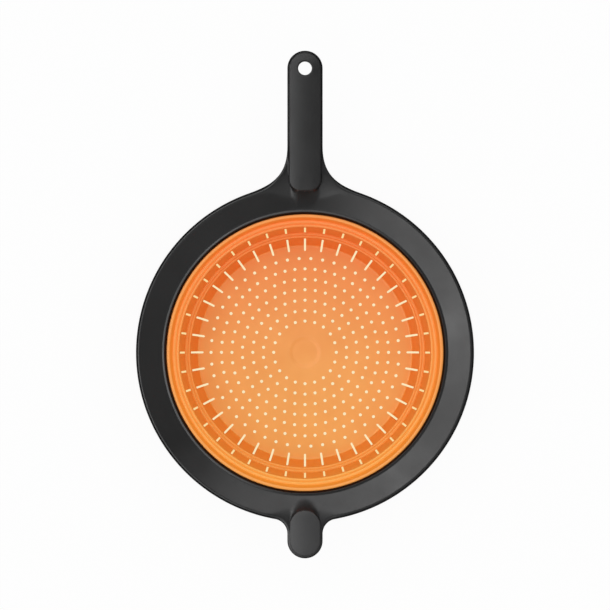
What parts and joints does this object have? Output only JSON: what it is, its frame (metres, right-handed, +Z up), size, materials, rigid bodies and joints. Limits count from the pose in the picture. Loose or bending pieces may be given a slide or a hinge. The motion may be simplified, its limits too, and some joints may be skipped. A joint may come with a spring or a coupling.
{
  "type": "collapsible colander",
  "caption": "Colander with a folding perforated silicone bowl in a rigid ring frame, with a long handle, a hanging hole and a thumb tab.",
  "frame": {"origin": "centre of the bowl's flat underside, on the bowl's axis, with the bowl expanded", "axes": "+Z up along the bowl's axis, +Y along the handle, +X to the right when the handle points away"},
  "size_m": [0.257, 0.3859, 0.0732],
  "materials": {
    "black_plastic": "satin moulded black plastic",
    "soft_grip": "matt soft-touch black rubber",
    "orange_silicone": "satin orange silicone"
  },
  "bodies": {
    "frame": {"frame": "black_plastic", "retaining_ring": "black_plastic", "handle_grip": "soft_grip", "thumb_pad": "soft_grip", "bowl_rim": "orange_silicone"},
    "upper_wall": {"bowl_upper_wall": "orange_silicone"},
    "cup": {"bowl_lower_wall": "orange_silicone", "bowl_floor": "orange_silicone"}
  },
  "joints": [
    {"name": "collapse", "type": "slide", "parent": "frame", "child": "cup", "axis": [0, 0, 1], "range_m": [0, 0.048]},
    {"name": "upper_wall_roll", "type": "slide", "parent": "frame", "child": "upper_wall", "axis": [0, 0, 1], "range_m": [0, 0.024]}
  ],
  "couplings": [
    {"joint": "upper_wall_roll", "follows": "collapse", "ratio": 0.5}
  ]
}
